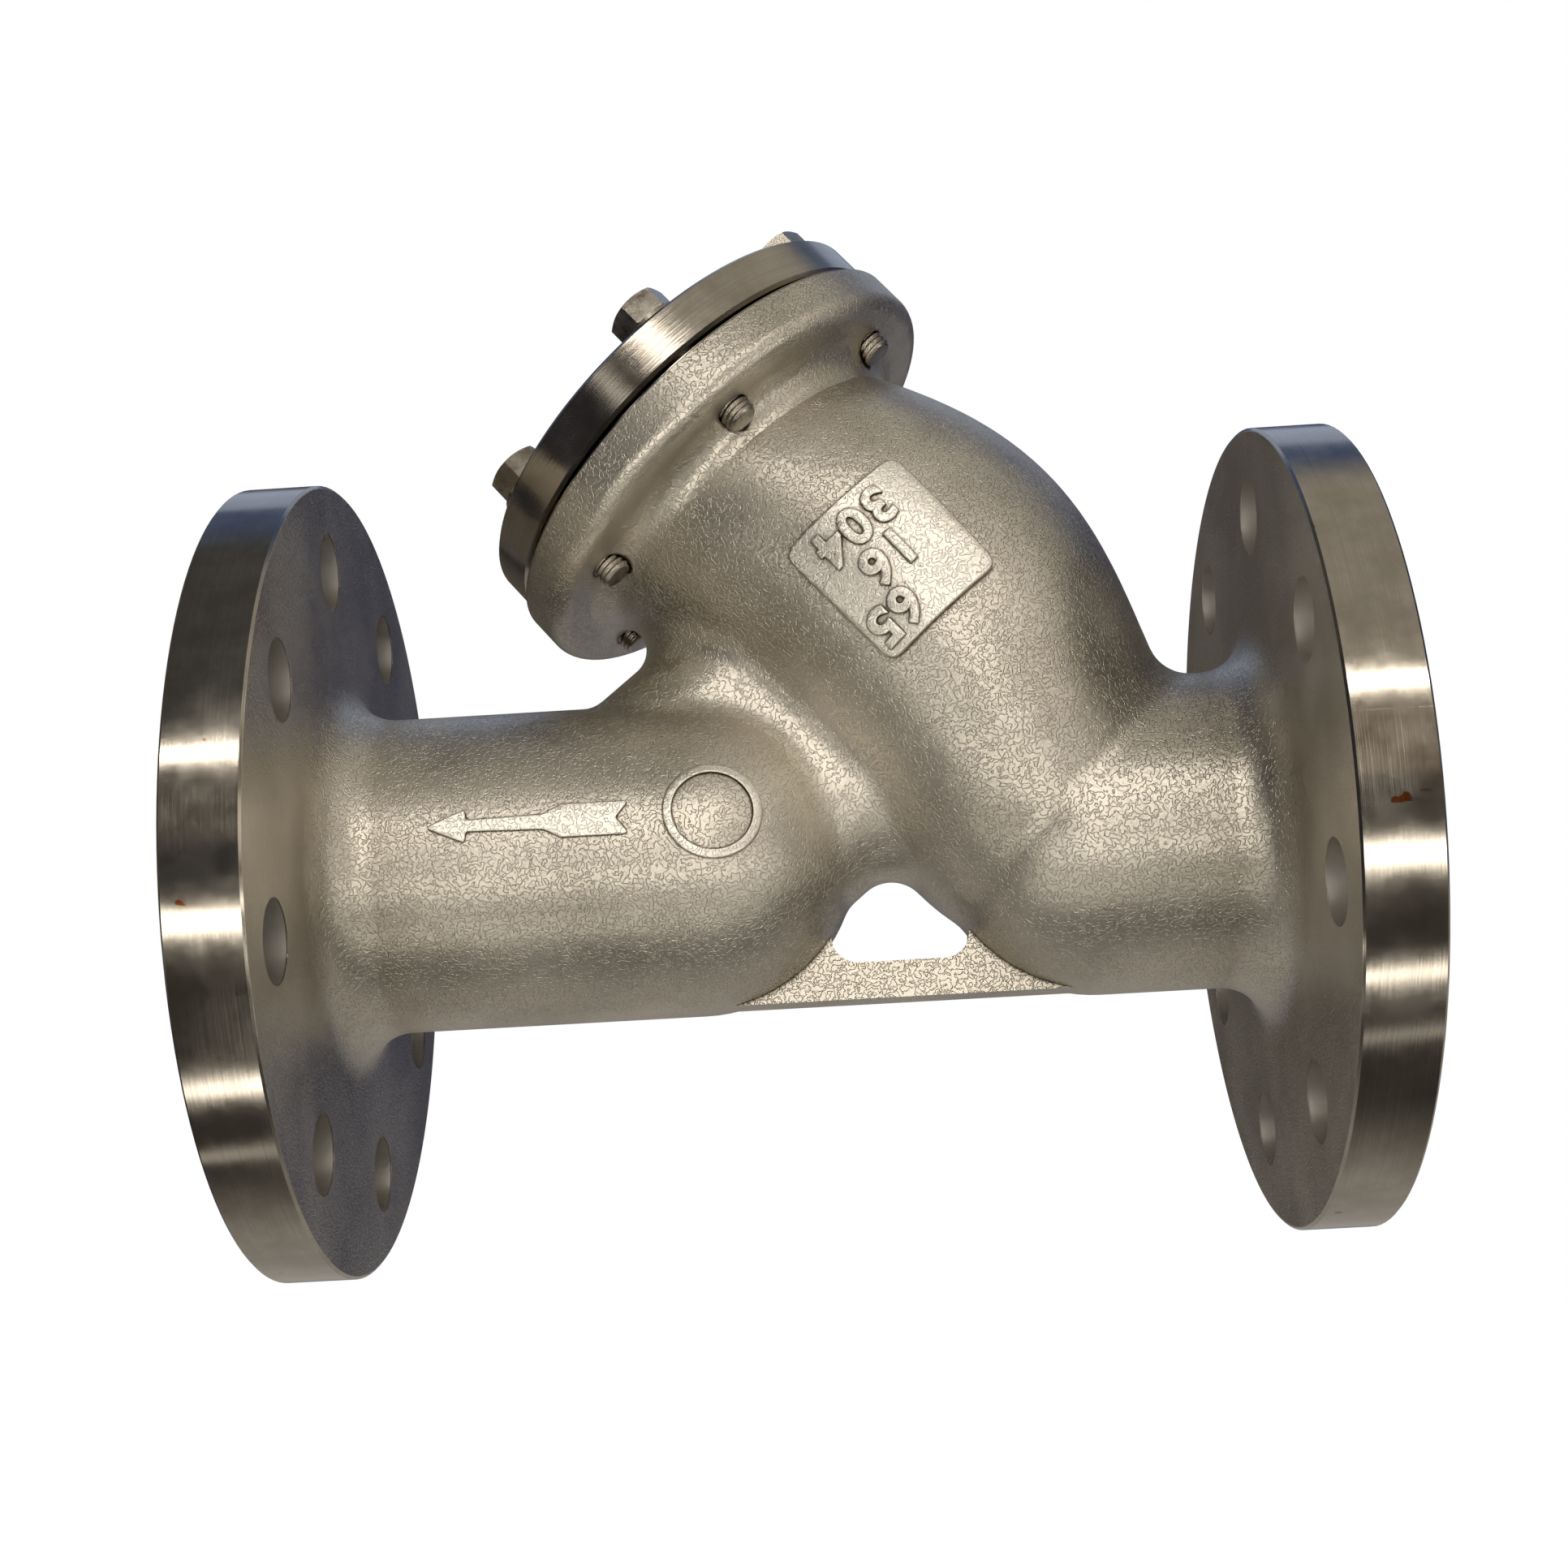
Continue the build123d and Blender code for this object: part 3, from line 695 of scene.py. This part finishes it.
def floor_material(tree):
    shader = tree.nodes.new("ShaderNodeBsdfDiffuse")
    shader.inputs["Color"].default_value = (FLOOR_SHADE, FLOOR_SHADE, FLOOR_SHADE, 1)
    light = tree.nodes.new("ShaderNodeEmission")
    level = tree.nodes.new("ShaderNodeMath")
    level.operation = "MULTIPLY"
    level.inputs[1].default_value = FLOOR_GLOW
    tree.links.new(seen_rays(tree), level.inputs[0])
    tree.links.new(level.outputs[0], light.inputs["Strength"])
    both = tree.nodes.new("ShaderNodeAddShader")
    tree.links.new(shader.outputs[0], both.inputs[0])
    tree.links.new(light.outputs[0], both.inputs[1])
    output = tree.nodes.new("ShaderNodeOutputMaterial")
    tree.links.new(both.outputs[0], output.inputs["Surface"])


stage_piece("floor", level_square(0, FLOOR_REACH, FLOOR_Z), [(0, 1, 2, 3)], floor_material)

world = bpy.data.worlds.new("studio")
bpy.context.scene.world = world
world.use_nodes = True
tree = world.node_tree
background = tree.nodes["Background"]
background.inputs["Color"].default_value = (1, 1, 1, 1)
strength = tree.nodes.new("ShaderNodeMapRange")
strength.inputs["To Min"].default_value = WORLD_STRENGTH
tree.links.new(seen_rays(tree), strength.inputs["Value"])
tree.links.new(strength.outputs[0], background.inputs["Strength"])

# Grey studio tent, seen only in the metal; its material takes places in metres times the scale
TENT_RADIUS = 6000
TENT_SCALE = 0.25


def scale_node(tree, value, low, high):
    """0 to 1 as a value goes from low to high."""
    node = tree.nodes.new("ShaderNodeMapRange")
    node.interpolation_type = "SMOOTHSTEP"
    node.inputs["From Min"].default_value = low
    node.inputs["From Max"].default_value = high
    tree.links.new(value, node.inputs["Value"])
    return node.outputs[0]


def product_node(tree, first, second):
    node = tree.nodes.new("ShaderNodeMath")
    node.operation = "MULTIPLY"
    tree.links.new(first, node.inputs[0])
    tree.links.new(second, node.inputs[1])
    return node.outputs[0]


def blend_node(tree, share, first, second):
    """Colour between two others, which are sockets or constants."""
    node = tree.nodes.new("ShaderNodeMix")
    node.data_type = "RGBA"
    tree.links.new(share, node.inputs[0])
    for socket, value in ((node.inputs[6], first), (node.inputs[7], second)):
        if isinstance(value, tuple):
            socket.default_value = (*value, 1)
        else:
            tree.links.new(value, socket)
    return node.outputs[2]


def glow(tree, colour):
    """Ends a material as plain light of a colour."""
    shader = tree.nodes.new("ShaderNodeEmission")
    tree.links.new(colour, shader.inputs["Color"])
    output = tree.nodes.new("ShaderNodeOutputMaterial")
    tree.links.new(shader.outputs[0], output.inputs["Surface"])


def position(tree, scale=1.0):
    place = tree.nodes.new("ShaderNodeNewGeometry")
    sized = tree.nodes.new("ShaderNodeVectorMath")
    sized.operation = "SCALE"
    sized.inputs["Scale"].default_value = scale
    split = tree.nodes.new("ShaderNodeSeparateXYZ")
    tree.links.new(place.outputs["Position"], sized.inputs[0])
    tree.links.new(sized.outputs[0], split.inputs[0])
    return split.outputs


def tent_material(tree):
    """Dark on the outlet's side and warmer towards the inlet, with a light ceiling and a blue back."""
    x, y, z = position(tree, TENT_SCALE)
    front = blend_node(tree, scale_node(tree, x, -0.9, -0.4), (0.03, 0.03, 0.035), (0.11, 0.10, 0.085))
    front = blend_node(tree, scale_node(tree, x, -0.3, 0.5), front, (0.24, 0.20, 0.15))
    side = blend_node(tree, scale_node(tree, x, -0.2, 1.0), (0.06, 0.06, 0.068), (0.36, 0.33, 0.27))
    colour = blend_node(tree, scale_node(tree, y, -0.7, 0.1), front, side)
    above = blend_node(tree, scale_node(tree, x, -0.35, 0.1), (0.09, 0.088, 0.085), (0.46, 0.43, 0.37))
    colour = blend_node(tree, scale_node(tree, z, 0.6, 0.75), colour, above)
    back = blend_node(tree, scale_node(tree, x, -0.4, 0.4), (0.10, 0.085, 0.07), (0.045, 0.05, 0.09))
    back = blend_node(tree, scale_node(tree, z, 0.6, 1.1), back, (0.10, 0.135, 0.24))
    colour = blend_node(tree, scale_node(tree, y, 0.05, 0.5), colour, back)
    glow(tree, colour)


tent_mesh = bmesh.new()
bmesh.ops.create_icosphere(tent_mesh, subdivisions=3, radius=TENT_RADIUS)
tent_points = [tuple(v.co + Vector((OBJECT_MIDDLE.x, 0, 0))) for v in tent_mesh.verts]
tent_faces = [tuple(v.index for v in f.verts) for f in tent_mesh.faces]
tent_mesh.free()
tent = stage_piece("tent", tent_points, tent_faces, tent_material)

# Dark mat with light strips between the object and the floor, seen only in the metal.
# A strip has its low and high edge along y, its strength, and its start and end along x, in metres.
# Strips whose high edge is past SLANT_EDGE slant by MAT_SLOPE; the others run along x.
MAT_Z = FLOOR_Z + 2
MAT_REACH = 5800
MAT_STRIPS = (
    (-0.465, -0.365, 7.0, -0.2, 9.0),
    (-0.37, -0.15, 0.9, -0.01, 0.07),
    (-0.120, -0.109, 5.5, -0.04, 9.0),
    (-0.066, -0.058, 0.8, -0.04, 9.0),
)
MAT_SLOPE = 0.15
SLANT_EDGE = -0.2
STRIP_START_BLUR = 0.02
STRIP_END_BLUR = 0.03
STRIP_TINT = (1, 0.95, 0.86)


def mat_material(tree):
    x, y, _ = position(tree)
    colour = blend_node(tree, scale_node(tree, y, -0.06, 0.03), (0.06, 0.055, 0.048), (0.42, 0.395, 0.36))
    colour = blend_node(tree, scale_node(tree, x, -0.28, -0.1), (0.035, 0.035, 0.04), colour)
    colour = blend_node(tree, scale_node(tree, y, 0.3, 0.8), colour, (0.26, 0.26, 0.28))
    slant = tree.nodes.new("ShaderNodeMath")
    slant.operation = "MULTIPLY_ADD"
    tree.links.new(x, slant.inputs[0])
    slant.inputs[1].default_value = MAT_SLOPE
    tree.links.new(y, slant.inputs[2])
    for low, high, power, start, end in MAT_STRIPS:
        place = slant.outputs[0] if high > SLANT_EDGE else y
        soft = (high - low) / 4
        rises = scale_node(tree, place, low - soft, low + soft)
        falls = scale_node(tree, place, high + soft, high - soft)
        begins = scale_node(tree, x, start - STRIP_START_BLUR, start + STRIP_START_BLUR)
        ends = scale_node(tree, x, end + STRIP_END_BLUR, end - STRIP_END_BLUR)
        share = product_node(tree, product_node(tree, product_node(tree, rises, falls), begins), ends)
        colour = blend_node(tree, share, colour, tuple(power * part for part in STRIP_TINT))
    glow(tree, colour)


mat = stage_piece("mat", level_square(OBJECT_MIDDLE.x, MAT_REACH, MAT_Z), [(0, 1, 2, 3)], mat_material)
for card in (tent, mat):
    card.visible_camera = False
    card.visible_diffuse = False
    card.visible_transmission = False
    card.visible_shadow = False


def soft_lamp(name, azimuth, elevation, distance, width, height, power, tint):
    """Soft box that faces the object, in degrees, millimetres and watts.

    Azimuth 0 is in front, and 90 on the inlet's side.
    """
    data = bpy.data.lights.new(name, "AREA")
    data.shape = "RECTANGLE"
    data.size = width * MM
    data.size_y = height * MM
    data.energy = power
    data.color = tint
    lamp = bpy.data.objects.new(name, data)
    a, e = radians(azimuth), radians(elevation)
    way = Vector((sin(a) * cos(e), -cos(a) * cos(e), sin(e)))
    lamp.location = (OBJECT_MIDDLE + way * distance) * MM
    lamp.rotation_euler = way.to_track_quat("Z", "Y").to_euler()
    lamp.visible_camera = False
    bpy.context.scene.collection.objects.link(lamp)


WARM = (1.0, 0.95, 0.88)
COOL = (0.8, 0.88, 1)
soft_lamp("strip_high", 4, 23.5, 5000, 5000, 245, 52, WARM)
soft_lamp("front_glow", 0, -1, 1200, 570, 620, 3.0, WARM)
soft_lamp("right_glow", 49, 6, 1200, 1000, 280, 0.8, WARM)
soft_lamp("left_window", -31, 6, 1200, 160, 150, 0.12, WARM)
soft_lamp("right_fill", 52, 28, 1200, 500, 420, 0.5, WARM)
soft_lamp("back_fill", 180, 52, 1300, 1300, 500, 0.8, COOL)

bpy.context.scene.view_settings.view_transform = "Standard"
